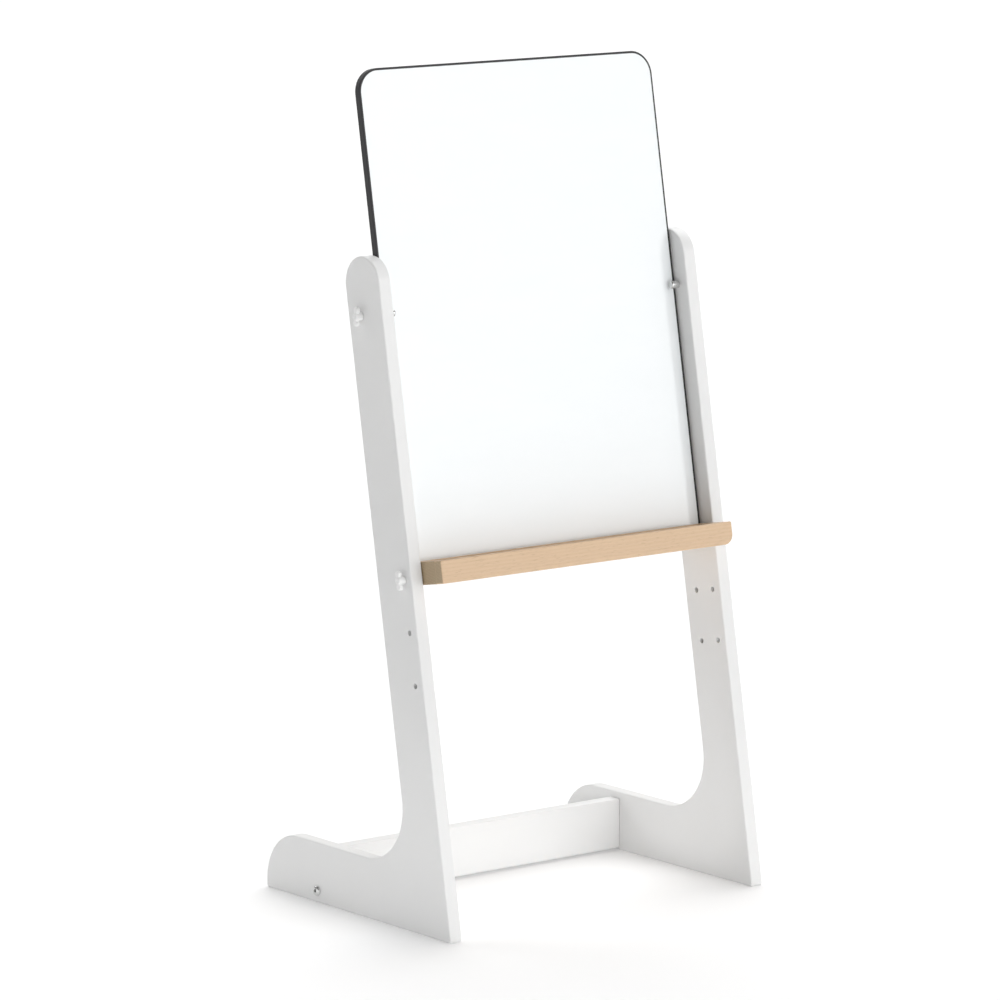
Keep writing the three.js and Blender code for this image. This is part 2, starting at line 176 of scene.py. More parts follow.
def add_world():
    """A studio sky: dim all round, white at the horizon to meet the floor, bright in soft patches."""
    world = bpy.data.worlds.new("studio")
    bpy.context.scene.world = world
    world.use_nodes = True
    nodes, links = world.node_tree.nodes, world.node_tree.links
    background = nodes["Background"]
    background.inputs["Color"].default_value = (1.0, 1.0, 1.0, 1)
    direction = nodes.new("ShaderNodeTexCoord").outputs["Generated"]
    split = nodes.new("ShaderNodeSeparateXYZ")
    links.new(direction, split.inputs[0])

    def ramp(value, low, high, out_low, out_high):
        node = nodes.new("ShaderNodeMapRange")
        node.interpolation_type = "SMOOTHSTEP"
        limits = (("From Min", low), ("From Max", high), ("To Min", out_low), ("To Max", out_high))
        for name, number in limits:
            node.inputs[name].default_value = number
        links.new(value, node.inputs["Value"])
        return node.outputs["Result"]

    total = ramp(split.outputs["Z"], *HORIZON_HEIGHTS, HORIZON, SKY)
    for patch, outer, inner, radiance in SOFTBOXES:
        toward = nodes.new("ShaderNodeVectorMath")
        toward.operation = "DOT_PRODUCT"
        toward.inputs[1].default_value = Vector(patch).normalized()
        links.new(direction, toward.inputs[0])
        edge, core = math.cos(math.radians(outer)), math.cos(math.radians(inner))
        glow = ramp(toward.outputs["Value"], edge, core, 0.0, radiance)
        add = nodes.new("ShaderNodeMath")
        links.new(total, add.inputs[0])
        links.new(glow, add.inputs[1])
        total = add.outputs[0]
    links.new(total, background.inputs["Strength"])


def add_lamps():
    """Low lamps with narrow beams, for the feet and the plank, where the sky and the floor give least."""
    for name, place, target, size, spread, power in LAMPS:
        data = bpy.data.lights.new(name, "AREA")
        data.shape = "RECTANGLE"
        data.size, data.size_y = size
        data.spread = math.radians(spread)
        data.energy = power
        lamp = bpy.data.objects.new(name, data)
        lamp.location = place
        lamp.rotation_euler = (Vector(target) - Vector(place)).to_track_quat("-Z", "Y").to_euler()
        lamp.visible_camera = False
        lamp.visible_glossy = False
        bpy.context.scene.collection.objects.link(lamp)


def add_floor():
    """A wide white studio floor with a faint glow of its own."""
    mesh = bpy.data.meshes.new("floor")
    corners = [(x * FLOOR_REACH, y * FLOOR_REACH, 0) for x, y in ((-1, -1), (1, -1), (1, 1), (-1, 1))]
    mesh.from_pydata(corners, [], [(0, 1, 2, 3)])
    floor = bpy.data.objects.new("floor", mesh)
    bpy.context.scene.collection.objects.link(floor)
    material = bpy.data.materials.new("floor_white")
    material.use_nodes = True
    shader = material.node_tree.nodes["Principled BSDF"]
    shader.inputs["Base Color"].default_value = (FLOOR_WHITE, FLOOR_WHITE, FLOOR_WHITE, 1)
    shader.inputs["Emission Color"].default_value = (1.0, 1.0, 1.0, 1)
    shader.inputs["Emission Strength"].default_value = FLOOR_GLOW
    shader.inputs["Roughness"].default_value = 0.9
    shader.inputs["Specular IOR Level"].default_value = 0.0
    mesh.materials.append(material)


# ------------------------------------------------------------------ materials

class Nodes:
    """A material's node tree, with short ways to add the nodes that these materials share."""

    def __init__(self, name, color, roughness, metallic=0.0):
        self.material = bpy.data.materials.new(name)
        self.material.use_nodes = True
        self.tree = self.material.node_tree
        self.shader = self.tree.nodes["Principled BSDF"]
        self.shader.inputs["Base Color"].default_value = (*color, 1)
        self.shader.inputs["Roughness"].default_value = roughness
        self.shader.inputs["Metallic"].default_value = metallic
        self.coordinates = self.add("TexCoord").outputs["Object"]

    def add(self, kind, **settings):
        node = self.tree.nodes.new("ShaderNode" + kind)
        for key, value in settings.items():
            setattr(node, key, value)
        return node

    def link(self, source, target):
        self.tree.links.new(source, target)

    def stretched(self, scale, turn=(0, 0, 0)):
        mapping = self.add("Mapping")
        mapping.inputs["Scale"].default_value = scale
        mapping.inputs["Rotation"].default_value = turn
        self.link(self.coordinates, mapping.inputs["Vector"])
        return mapping.outputs["Vector"]

    def noise(self, scale, detail=2.0, roughness=0.5, vector=None):
        node = self.add("TexNoise")
        node.inputs["Scale"].default_value = scale
        node.inputs["Detail"].default_value = detail
        node.inputs["Roughness"].default_value = roughness
        self.link(vector or self.coordinates, node.inputs["Vector"])
        return node.outputs["Fac"]

    def ramp(self, value, stops):
        node = self.add("ValToRGB")
        elements = node.color_ramp.elements
        while len(elements) < len(stops):
            elements.new(0.5)
        for element, (place, color) in zip(elements, stops):
            element.position = place
            element.color = (*color, 1)
        self.link(value, node.inputs["Fac"])
        return node.outputs["Color"]

    def span(self, value, low, high, out_low, out_high):
        node = self.add("MapRange")
        node.inputs["From Min"].default_value = low
        node.inputs["From Max"].default_value = high
        node.inputs["To Min"].default_value = out_low
        node.inputs["To Max"].default_value = out_high
        self.link(value, node.inputs["Value"])
        return node.outputs["Result"]

    def math(self, operation, first, second=None):
        node = self.add("Math", operation=operation)
        for socket, value in zip(node.inputs, (first, second)):
            if value is None:
                continue
            if isinstance(value, (int, float)):
                socket.default_value = value
            else:
                self.link(value, socket)
        return node.outputs["Value"]

    def mix(self, factor, first, second):
        node = self.add("Mix", data_type="RGBA")
        for socket, value in zip((node.inputs["Factor"], node.inputs[6], node.inputs[7]),
                                 (factor, first, second)):
            if isinstance(value, (int, float)):
                socket.default_value = value
            elif isinstance(value, tuple):
                socket.default_value = (*value, 1)
            else:
                self.link(value, socket)
        return node.outputs[2]

    def bump(self, height, distance, strength, onto=None):
        node = self.add("Bump")
        node.inputs["Strength"].default_value = strength
        node.inputs["Distance"].default_value = distance
        self.link(height, node.inputs["Height"])
        if onto is not None:
            self.link(onto, node.inputs["Normal"])
        return node.outputs["Normal"]

    def feed(self, socket, value):
        self.link(value, self.shader.inputs[socket])


def white_paint():
    """Satin paint on fibreboard: a fine roller texture, and faint drifts of tone and gloss."""
    m = Nodes("white_paint", (0.80, 0.80, 0.795), 0.42)
    drift = m.noise(5.0, 3.0)
    stipple = m.noise(900.0, 2.0, 0.6)
    tone = m.ramp(drift, [(0.35, (0.795, 0.797, 0.795)), (0.65, (0.815, 0.815, 0.81))])
    m.feed("Base Color", m.mix(m.span(stipple, 0.3, 0.7, 0.0, 0.5), tone, (0.80, 0.80, 0.795)))
    m.feed("Roughness", m.span(m.noise(14.0, 4.0), 0.3, 0.7, 0.38, 0.50))
    peel = m.bump(m.noise(260.0, 2.0), 0.00006, 0.35)
    m.feed("Normal", m.bump(stipple, 0.00003, 0.45, peel))
    return m.material


def white_enamel():
    """A hard, glossy dry-wipe coat with a slow ripple and the faintest wiping marks."""
    m = Nodes("white_enamel", (0.87, 0.90, 0.91), 0.12)
    m.shader.inputs["Coat Weight"].default_value = 1.0
    m.shader.inputs["Coat IOR"].default_value = 1.6
    m.shader.inputs["Coat Roughness"].default_value = 0.03
    wipes = m.noise(9.0, 5.0, 0.6, m.stretched((1.0, 1.0, 3.5), (0.0, 0.5, 0.0)))
    m.feed("Base Color", m.ramp(wipes, [(0.3, (0.862, 0.893, 0.905)), (0.7, (0.876, 0.904, 0.916))]))
    m.feed("Roughness", m.span(wipes, 0.3, 0.7, 0.09, 0.16))
    m.feed("Normal", m.bump(m.noise(70.0, 2.0), 0.00004, 0.12))
    return m.material


def chalk_black():
    """Matt chalkboard paint with a fine tooth and a trace of wiped chalk."""
    m = Nodes("chalk_black", (0.022, 0.024, 0.023), 0.85)
    smears = m.noise(6.0, 8.0, 0.65, m.stretched((2.2, 1.0, 0.7), (0.0, 0.6, 0.0)))
    tooth = m.noise(1500.0, 2.0, 0.7)
    dust = m.math("MULTIPLY", m.span(smears, 0.48, 0.8, 0.0, 1.0), m.span(tooth, 0.35, 0.7, 0.2, 1.0))
    m.feed("Base Color", m.mix(dust, (0.022, 0.024, 0.023), (0.085, 0.088, 0.086)))
    m.feed("Roughness", m.span(smears, 0.3, 0.7, 0.80, 0.92))
    m.feed("Normal", m.bump(tooth, 0.00005, 0.5))
    return m.material


def black_edge():
    """Satin black edge band, a little paler where its corners are rubbed."""
    m = Nodes("black_edge", (0.015, 0.015, 0.017), 0.48)
    grain = m.noise(700.0, 3.0, 0.6)
    rubbed = m.span(m.add("NewGeometry").outputs["Pointiness"], 0.52, 0.62, 0.0, 0.35)
    m.feed("Base Color", m.mix(rubbed, (0.015, 0.015, 0.017), (0.07, 0.07, 0.072)))
    m.feed("Roughness", m.span(grain, 0.3, 0.7, 0.42, 0.56))
    m.feed("Normal", m.bump(grain, 0.00004, 0.35))
    return m.material


def dark_fibre():
    """Raw dark fibreboard, for the board's core."""
    m = Nodes("dark_fibre", (0.07, 0.055, 0.045), 0.9)
    fibres = m.noise(500.0, 6.0, 0.7, m.stretched((1.0, 3.0, 1.0)))
    m.feed("Base Color", m.ramp(fibres, [(0.3, (0.045, 0.036, 0.030)), (0.7, (0.10, 0.080, 0.064))]))
    m.feed("Normal", m.bump(fibres, 0.0001, 0.6))
    return m.material


def beech(name, pith=(0.0, 0.16, -0.20), shift=0.0):
    """Lacquered beech with its grain along X: rings round a far pith, short dark flecks, end grain."""
    m = Nodes(name, (0.66, 0.48, 0.31), 0.42)
    moved = m.add("Mapping")
    moved.inputs["Location"].default_value = (shift, -pith[1], -pith[2])
    moved.inputs["Scale"].default_value = (0.10, 1.0, 1.0)
    m.link(m.coordinates, moved.inputs["Vector"])
    along = moved.outputs["Vector"]
    wander = m.noise(7.0, 3.0, 0.55, along)
    split = m.add("SeparateXYZ")
    m.link(along, split.inputs[0])
    squares = [m.math("MULTIPLY", split.outputs[axis], split.outputs[axis]) for axis in ("Y", "Z")]
    distance = m.math("SQRT", m.math("ADD", *squares))
    bent = m.math("ADD", distance, m.math("MULTIPLY", wander, 0.020))
    ring = m.math("SINE", m.math("MULTIPLY", bent, 2 * math.pi / 0.0034))
    rings = m.span(ring, -1.0, 1.0, 0.0, 1.0)
    pale, warm = (0.697, 0.502, 0.329), (0.622, 0.432, 0.268)
    wood = m.mix(m.math("MULTIPLY", rings, 0.45), pale, warm)
    cloud = m.noise(16.0, 4.0, 0.6, along)
    wood = m.mix(m.span(cloud, 0.35, 0.7, 0.0, 0.45), wood, (0.725, 0.517, 0.343))
    flecks = m.noise(1100.0, 1.0, 0.5, m.stretched((0.09, 1.0, 1.0)))
    fleck = m.span(flecks, 0.60, 0.72, 0.0, 0.55)
    wood = m.mix(fleck, wood, (0.50, 0.335, 0.205))
    fibre = m.noise(2400.0, 2.0, 0.6, m.stretched((0.02, 1.0, 1.0)))
    wood = m.mix(m.span(fibre, 0.35, 0.65, 0.0, 0.22), wood, (0.58, 0.41, 0.26))
    normal = m.add("SeparateXYZ")
    m.link(m.add("TexCoord").outputs["Normal"], normal.inputs[0])
    facing = m.span(m.math("ABSOLUTE", normal.outputs["X"]), 0.75, 0.95, 0.0, 1.0)
    pores = m.noise(2600.0, 2.0, 0.6)
    grain_end = m.mix(m.span(pores, 0.4, 0.62, 0.0, 0.8), (0.50, 0.385, 0.24), (0.36, 0.265, 0.165))
    grain_end = m.mix(m.math("MULTIPLY", rings, 0.5), grain_end, (0.39, 0.29, 0.18))
    m.feed("Base Color", m.mix(facing, wood, grain_end))
    m.feed("Roughness", m.span(fibre, 0.3, 0.7, 0.38, 0.52))
    soft = m.bump(fibre, 0.00003, 0.5)
    m.feed("Normal", m.bump(fleck, -0.00006, 0.5, soft))
    return m.material


def metal(name, color, roughness, brushing):
    """Plated or turned metal: fine marks, drawn out where the brushing scale is small, and darker patches."""
    m = Nodes(name, color, roughness, metallic=1.0)
    marks = m.noise(1600.0, 3.0, 0.6, m.stretched(brushing))
    patches = m.noise(120.0, 3.0, 0.6)
    darker = tuple(c * 0.82 for c in color)
    m.feed("Base Color", m.mix(m.span(patches, 0.4, 0.75, 0.0, 0.6), color, darker))
    m.feed("Roughness", m.span(marks, 0.3, 0.7, roughness * 0.8, roughness * 1.3))
    m.feed("Normal", m.bump(marks, 0.00002, 0.4))
    return m.material


def white_plastic():
    """Moulded nylon: a soft gloss with a faint spark-eroded texture."""
    m = Nodes("white_plastic", (0.88, 0.88, 0.875), 0.3)
    texture = m.noise(1300.0, 2.0, 0.6)
    tone = m.noise(90.0, 3.0)
    m.feed("Base Color", m.ramp(tone, [(0.35, (0.87, 0.87, 0.865)), (0.65, (0.89, 0.89, 0.885))]))
    m.feed("Roughness", m.span(texture, 0.3, 0.7, 0.26, 0.38))
    m.feed("Normal", m.bump(texture, 0.00003, 0.35))
    return m.material


# ------------------------------------------------------------------ meshes

def arc(x, y, radius, start, end, steps):
    """Points on an arc, in degrees, both ends included."""
    angles = [math.radians(start + (end - start) * i / steps) for i in range(steps + 1)]
    return [(x + radius * math.cos(a), y + radius * math.sin(a)) for a in angles]


def box_ring(left, bottom, right, top, radii, steps):
    """A rectangle's outline as a function of how far it is drawn in; radii from the lower left round."""
    low_left, low_right, high_right, high_left = radii

    def ring(inset):
        return (
            arc(left + low_left, bottom + low_left, low_left - inset, 180, 270, steps)
            + arc(right - low_right, bottom + low_right, low_right - inset, 270, 360, steps)
            + arc(right - high_right, top - high_right, high_right - inset, 0, 90, steps)
            + arc(left + high_left, top - high_left, high_left - inset, 90, 180, steps)
        )
    return ring


def panel_ring(inset):
    """The side panel's outline in y and z, drawn in by an inset."""
    lean_deg = math.degrees(LEAN)
    cosine, slope = math.cos(LEAN), math.tan(LEAN)
    half = UPRIGHT_WIDTH / 2
    top_y, top_z = upright(half, UPRIGHT_LENGTH - half)
    fillet_z = FOOT_HEIGHT + FILLET_RADIUS
    fillet_y = (FILLET_RADIUS + UPRIGHT_WIDTH) / cosine + slope * fillet_z
    toe_y = TOE_RADIUS / cosine + slope * TOE_RADIUS
    return (
        arc(toe_y, TOE_RADIUS, TOE_RADIUS - inset, 180 - lean_deg, 270, 8)
        + arc(FOOT_REAR - TOE_RADIUS, TOE_RADIUS, TOE_RADIUS - inset, 270, 360, 8)
        + arc(FOOT_REAR - HEEL_RADIUS, FOOT_HEIGHT - HEEL_RADIUS, HEEL_RADIUS - inset, 0, 90, 36)
        + arc(fillet_y, fillet_z, FILLET_RADIUS + inset, 270, 180 - lean_deg, 36)
        + arc(top_y, top_z, half - inset, -lean_deg, 180 - lean_deg, 64)
    )


def rim(thickness, edge, steps, back=None):
    """Pairs of inset and depth that carry an outline round a softened edge, along, and round again."""
    def quarter(radius):
        turns = [math.radians(90 * i / steps) for i in range(steps + 1)]
        return [(radius * (1 - math.sin(t)), radius * (1 - math.cos(t))) for t in turns]
    far = quarter(edge if back is None else back)
    return quarter(edge) + [(inset, thickness - depth) for inset, depth in reversed(far)]


def skin(bm, loops, closed=False):
    """Faces between each loop of vertices and the next."""
    pairs = list(zip(loops, loops[1:]))
    if closed:
        pairs.append((loops[-1], loops[0]))
    for first, second in pairs:
        for i in range(len(first)):
            j = (i + 1) % len(first)
            bm.faces.new((first[i], first[j], second[j], second[i]))


def cap(bm, rims):
    """A flat face inside the first rim, with the others as holes in it."""
    edges = []
    for loop in rims:
        edges += [bm.edges.get((a, b)) for a, b in zip(loop, loop[1:] + loop[:1])]
    bmesh.ops.triangle_fill(bm, use_beauty=True, use_dissolve=False, edges=edges)


def finish_mesh(bm, name, material):
    """Turns a bmesh into a smooth object whose sharper corners stay crisp."""
    bmesh.ops.remove_doubles(bm, verts=bm.verts, dist=1e-7)
    bmesh.ops.recalc_face_normals(bm, faces=bm.faces)
    mesh = bpy.data.meshes.new(name)
    bm.to_mesh(mesh)
    bm.free()
    obj = bpy.data.objects.new(name, mesh)
    bpy.context.scene.collection.objects.link(obj)
    smooth(obj)
    if material is not None:
        mesh.materials.append(material)
    return obj


def smooth(obj, sharp=SHARP_CORNER):
    """Smooth shading, with corners sharper than an angle in degrees kept crisp."""
    mesh = obj.data
    mesh.shade_smooth()
    mesh.set_sharp_from_angle(angle=math.radians(sharp))
    weighted = obj.modifiers.new("weighted", "WEIGHTED_NORMAL")
    weighted.weight = 100
    weighted.keep_sharp = True


def drill(bm, at, radius, place, thickness, depth=None, far=False):
    """A round hole with a softened lip, right through or to a depth; returns its near and far rims."""
    def loop(r, d):
        d = thickness - d if far else d
        circle = arc(*at, r, 0, 360 - 360 / HOLE_SEGMENTS, HOLE_SEGMENTS - 1)
        return [bm.verts.new(place(a, b, d)) for a, b in circle]
    rings = [(radius + HOLE_LIP, 0), (radius + 0.3 * HOLE_LIP, 0.3 * HOLE_LIP), (radius, HOLE_LIP)]
    if depth is None:
        rings += [(r, thickness - d) for r, d in reversed(rings)]
        loops = [loop(r, d) for r, d in rings]
        skin(bm, loops)
        return [loops[0]], [loops[-1]]
    loops = [loop(r, d) for r, d in rings + [(radius, depth), (radius * 0.5, depth + radius * 0.25)]]
    skin(bm, loops)
    bm.faces.new(loops[-1])
    return ([], [loops[0]]) if far else ([loops[0]], [])


def slab(name, ring, thickness, edge, place, material, holes=(), steps=5, back=None):
    """A plate with softened rims: an outline, a thickness, and holes given as arguments for drill."""
    bm = bmesh.new()
    loops = [[bm.verts.new(place(a, b, depth)) for a, b in ring(inset)]
             for inset, depth in rim(thickness, edge, steps, back)]
    skin(bm, loops)
    near, far = [loops[0]], [loops[-1]]
    for hole in holes:
        more_near, more_far = drill(bm, place=place, thickness=thickness, **hole)
        near += more_near
        far += more_far
    cap(bm, near)
    cap(bm, far)
    return finish_mesh(bm, name, material)


def turned(name, profile, place, material, segments):
    """A turned body with both ends closed.

    The profile lists radius and height, and a radius may be a function of the angle."""
    bm = bmesh.new()
    loops = []
    for radius, height in profile:
        loop = []
        for i in range(segments):
            angle = 2 * math.pi * i / segments
            r = radius(angle) if callable(radius) else radius
            loop.append(bm.verts.new(place(r * math.cos(angle), r * math.sin(angle), height)))
        loops.append(loop)
    skin(bm, loops)
    bm.faces.new(loops[0])
    bm.faces.new(loops[-1])
    return finish_mesh(bm, name, material)


def settle(obj):
    """Replaces an object's mesh by what its modifiers make of it."""
    graph = bpy.context.evaluated_depsgraph_get()
    mesh = bpy.data.meshes.new_from_object(obj.evaluated_get(graph))
    obj.modifiers.clear()
    old = obj.data
    obj.data = mesh
    bpy.data.meshes.remove(old)


def carve(obj, cutters, operation="DIFFERENCE"):
    """Cuts each cutter out of an object, or joins it on, and removes the cutter."""
    for cutter in cutters:
        tool = obj.modifiers.new("cut", "BOOLEAN")
        tool.operation = operation
        tool.solver = "EXACT"
        tool.object = cutter
    bpy.context.view_layer.update()
    settle(obj)
    for cutter in cutters:
        bpy.data.objects.remove(cutter)


def round_off(obj, width):
    """Rounds an object's corners to a width."""
    tool = obj.modifiers.new("soft", "BEVEL")
    tool.width = width
    tool.segments = 3
    tool.limit_method = "ANGLE"
    tool.angle_limit = math.radians(40)
    bpy.context.view_layer.update()
    settle(obj)


def place_piece(obj, body, node):
    """Hangs a piece on the body it rides on, and hides the CAD node it stands for."""
    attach(obj, body)
    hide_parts(node)


# ------------------------------------------------------------------ panels and stretcher

def side_panel(side, sign, paint):
    """One L-shaped panel, with through holes for bolts and studs, and blind ones for pins and the dowel."""
    def place(y, z, depth):
        return Vector((sign * (INNER_FACE + depth), y - MIDDLE_Y, z))

    def through(at):
        return {"at": at, "radius": STUD_HOLE}

    def socket(at, radius):
        return {"at": at, "radius": radius, "depth": BLIND_DEPTH}

    holes = [
        through(upright(*RAIL_AXIS)),
        socket(upright(*STOP_AXIS), STUD_HOLE),
        through((STRETCHER_MIDDLE, BOLT_HEIGHT)),
        socket((STRETCHER_MIDDLE, DOWEL_HEIGHT), DOWEL_HOLE),
    ]
    for row in range(TRAY_ROWS):
        drop = row * ROW_PITCH
        holes.append(through(upright(TRAY_BOLT[0], TRAY_BOLT[1] - drop)))
        holes.append(socket(upright(TRAY_PIN[0], TRAY_PIN[1] - drop), STUD_HOLE))
    panel = slab("panel_" + side, panel_ring, PANEL_THICKNESS, PANEL_EDGE, place, paint, holes)
    place_piece(panel, "stand", "side_panel_" + side)


def stretcher(paint):
    """The plank between the feet, with a hole in its rear face for each barrel nut.

    Its ends aren't bored for the bolts and dowels, which are hidden in it."""
    end = INNER_FACE - GAP
    ring = box_ring(-end, STRETCHER_BOTTOM, end, STRETCHER_TOP, [1.3 * MM] * 4, 5)
    holes = [{"at": (sign * NUT_X, BOLT_HEIGHT), "radius": NUT_HOLE, "depth": NUT_HOLE_DEPTH, "far": True}
             for _, sign in SIDES]

    def place(x, z, depth):
        return Vector((x, STRETCHER_FRONT + depth - MIDDLE_Y, z))
    plank = slab("stretcher", ring, STRETCHER_THICKNESS, STRETCHER_EDGE, place, paint, holes)
    place_piece(plank, "stand", "rear_stretcher")


def stretcher_bolt(side, sign, nickel):
    """A domed button head with a hexagon socket, on its shank."""
    hexagon = 2.05 * MM

    def socket(angle):
        part = math.fmod(angle, math.pi / 3) - math.pi / 6
        return hexagon / math.cos(part)

    def place(a, b, height):
        x = sign * (OUTER_FACE + GAP + height)
        return Vector((x, STRETCHER_MIDDLE + a - MIDDLE_Y, BOLT_HEIGHT + b))

    radius, height, foot = 6.5 * MM, 3.4 * MM, 0.8 * MM
    profile = [(2.4 * MM, -60 * MM), (3 * MM, -59 * MM), (3 * MM, -0.2 * MM), (3.3 * MM, 0),
               (radius - 0.3 * MM, 0), (radius, 0.25 * MM), (radius, foot)]
    for step in range(1, 14):
        angle = math.radians(90 * step / 18)
        profile.append((radius * math.cos(angle), foot + (height - foot) * math.sin(angle)))
    top = height - 0.12 * MM
    profile += [(lambda a: socket(a) + 0.25 * MM, top), (socket, top - 0.2 * MM),
                (socket, height - 2 * MM), (0.4 * MM, height - 2.5 * MM)]
    bolt = turned("bolt_" + side, profile, place, nickel, 72)
    place_piece(bolt, "stand", "stretcher_bolt_" + side)


def barrel_nut(side, sign, zinc):
    """A cross nut with a screwdriver slot, set in the stretcher's rear face. It isn't bored for the bolt."""
    def place(a, b, height):
        return Vector((sign * NUT_X + a, STRETCHER_MIDDLE + height - MIDDLE_Y, BOLT_HEIGHT + b))
    radius, half, soft = 5 * MM, 7 * MM, 0.5 * MM
    profile = [(radius - soft, -half), (radius, soft - half), (radius, half - soft), (radius - soft, half)]
    nut = turned("nut_" + side, profile, place, zinc, 48)
    nut.modifiers.clear()
    bm = bmesh.new()
    bmesh.ops.create_cube(bm, size=1)
    bmesh.ops.scale(bm, vec=(12 * MM, 3 * MM, 1.2 * MM), verts=bm.verts)
    bmesh.ops.translate(bm, vec=place(0, 0, half), verts=bm.verts)
    slot_cutter = finish_mesh(bm, "slot", None)
    carve(nut, [slot_cutter])
    smooth(nut)
    place_piece(nut, "stand", "barrel_nut_" + side)


# ------------------------------------------------------------------ board, rail and stops

def board_ring(shrink=0.0):
    """The board's outline, drawn in by a shrink."""
    upper, lower = BOARD_UPPER - shrink, BOARD_LOWER - shrink
    return box_ring(shrink - BOARD_HALF, BOARD_BOTTOM + shrink, BOARD_HALF - shrink,
                    BOARD_TOP - shrink, [lower, lower, upper, upper], 24)


def board_place(front):
    """Places a point of a plate that leans with the board, from the plate's front."""
    return lambda x, along, depth: lean(x, front + depth, along)


def edge_band(black):
    """The black band round the board, softened on its outer corners."""
    place, ring, edge = board_place(BOARD_FRONT), board_ring(), 0.9 * MM
    section = [(BAND, 0)] + rim(BOARD_THICKNESS, edge, 5) + [(BAND, BOARD_THICKNESS)]
    bm = bmesh.new()
    loops = [[bm.verts.new(place(a, b, depth)) for a, b in ring(inset)] for inset, depth in section]
    skin(bm, loops, closed=True)
    band = finish_mesh(bm, "edge_band", black)
    place_piece(band, "board", "board_edge_band")


def face_sheets(enamel, chalk):
    """The board's thin white sheet in front and its chalk sheet behind."""
    ring = board_ring(BAND + 0.1 * MM)
    white = slab("white_face", ring, SHEET, 0.12 * MM, board_place(BOARD_FRONT), enamel, steps=2)
    place_piece(white, "board", "whiteboard_face")
    rear = board_place(BOARD_FRONT + BOARD_THICKNESS - SHEET)
    black = slab("chalk_face", ring, SHEET, 0.12 * MM, rear, chalk, steps=2)
    place_piece(black, "board", "chalkboard_face")


def across(sign, axis, start):
    """Places a turned piece whose height runs along X from a given start, towards the side sign gives."""
    return lambda a, b, height: lean(sign * (start + height), axis[0] + a, axis[1] + b)


def rear_rail(wood):
    """The round rail behind the board: a rod with softened rims. Its ends are closed, not bored."""
    radius, soft = 9.5 * MM, 1.2 * MM
    length = 2 * TRAY_END
    profile = [(5.2 * MM, 0.0), (radius - soft, 0.0), (radius - 0.35 * soft, 0.35 * soft), (radius, soft)]
    profile += [(r, length - h) for r, h in reversed(profile)]
    rail = turned("rail", profile, across(1, RAIL_AXIS, -TRAY_END), wood, 96)
    place_piece(rail, "stand", "rear_rail")


def board_stop(side, sign, nickel):
    """A turned pin with a rounded end and a shoulder against the panel, on a thinner tail."""
    radius, length, tail = 5 * MM, 12.2 * MM, 11 * MM
    place = across(-sign, STOP_AXIS, GAP - INNER_FACE)
    profile = [(2.6 * MM, -tail), (3 * MM, 0.4 * MM - tail), (3 * MM, 0), (radius - 0.4 * MM, 0),
               (radius, 0.4 * MM), (radius, length - 1.6 * MM)]
    for step in range(1, 9):
        angle = math.radians(90 * step / 8)
        profile.append((radius - 1.6 * MM * (1 - math.cos(angle)), length - 1.6 * MM * (1 - math.sin(angle))))
    profile.append((0.4 * MM, length))
    stop = turned("stop_" + side, profile, place, nickel, 64)
    place_piece(stop, "stand", "board_stop_" + side)


# ------------------------------------------------------------------ tray

def tray_lip(wood):
    """The front board of the tray, with its lower right corner well rounded. It has no dowel holes."""
    radii = [1.8 * MM, 13 * MM, 1.8 * MM, 1.8 * MM]
    ring = box_ring(-TRAY_END, TRAY_BOTTOM, TRAY_END, TRAY_TOP, radii, 16)
    lip = slab("tray_front", ring, BODY_FRONT - LIP_FRONT, 1.5 * MM, board_place(LIP_FRONT), wood,
               steps=6, back=0.2 * MM)
    place_piece(lip, "stand", "tray_lip")


def block(name, low, high):
    """A plain block in the leaning frame, to be carved or to carve with."""
    bm = bmesh.new()
    bmesh.ops.create_cube(bm, size=1)
    for vert in bm.verts:
        x, behind, along = (lo + (c + 0.5) * (hi - lo) for c, lo, hi in zip(vert.co, low, high))
        vert.co = lean(x, behind, along)
    obj = finish_mesh(bm, name, None)
    obj.modifiers.clear()
    return obj


def tray_body(wood):
    """A solid ledge with a milled pen trough, a slot for the board, and holes in its ends.

    The ends' holes take the inserts and pins. It has no holes for the lip's dowels."""
    body = block("tray_ledge", (-TRAY_END, BODY_FRONT, TRAY_BOTTOM), (TRAY_END, TRAY_REAR, TRAY_TOP))
    corner, past = 10 * MM, 6 * MM
    ring = box_ring(-TROUGH_HALF, BODY_FRONT - past, TROUGH_HALF, TROUGH_REAR,
                    [4.2 * MM, 4.2 * MM, corner, corner], 12)
    floor = TRAY_TOP - TROUGH_DEPTH

    def place(x, behind, height):
        return lean(x, behind, floor + height)
    trough = slab("trough", ring, TROUGH_DEPTH + past, 4 * MM, place, None, steps=8)
    trough.modifiers.clear()
    slot_depth = TRAY_TOP - BOARD_BOTTOM + GAP
    slot = block("slot", (-1.1 * TRAY_END, BOARD_FRONT - 0.5 * MM, TRAY_TOP - slot_depth),
                 (1.1 * TRAY_END, BOARD_FRONT + BOARD_THICKNESS + 0.5 * MM, TRAY_TOP + past))
    carve(body, [trough, slot])
    round_off(body, 0.5 * MM)
    tools = []
    for side, sign in SIDES:
        for name, axis, radius, deep in (("insert", TRAY_BOLT, 5.1 * MM, 15.3 * MM),
                                         ("pin", TRAY_PIN, 3.3 * MM, 16 * MM)):
            hole = across(sign, axis, TRAY_END - deep)
            tool = turned(name + side, [(radius, 0), (radius, deep + past)], hole, None, 32)
            tool.modifiers.clear()
            tools.append(tool)
    carve(body, tools)
    body.data.materials.clear()
    body.data.materials.append(wood)
    smooth(body)
    place_piece(body, "stand", "tray_body")


# ------------------------------------------------------------------ knobs

